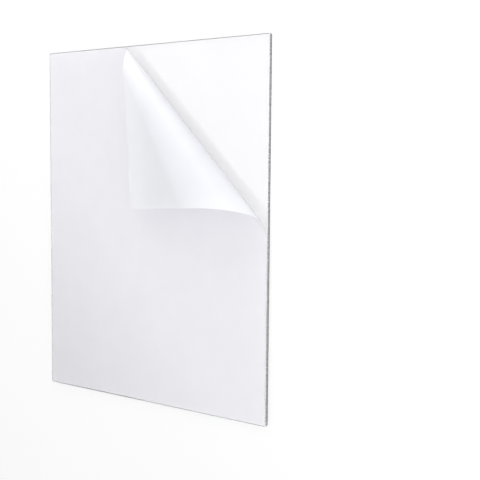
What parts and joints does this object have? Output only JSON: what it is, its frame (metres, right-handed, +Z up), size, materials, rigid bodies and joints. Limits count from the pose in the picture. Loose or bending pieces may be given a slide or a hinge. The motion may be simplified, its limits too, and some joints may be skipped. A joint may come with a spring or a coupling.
{
  "type": "clear acrylic sheet",
  "caption": "Flat rectangular clear plastic sheet with protective masking film on its upper face, peeled back and curled over at a corner.",
  "frame": {"origin": "on the floor under the middle of the sheet's back face", "axes": "+X across the sheet's width, +Y along its height towards the edge with the peeled corner, +Z up out of the filmed face"},
  "size_m": [0.2032, 0.254, 0.0281],
  "materials": {
    "clear_acrylic": "polished, clear, colourless",
    "masking_film": "satin, translucent, milky"
  },
  "bodies": {
    "root": {"acrylic_sheet": "clear_acrylic", "masking_film": "masking_film"}
  },
  "joints": []
}
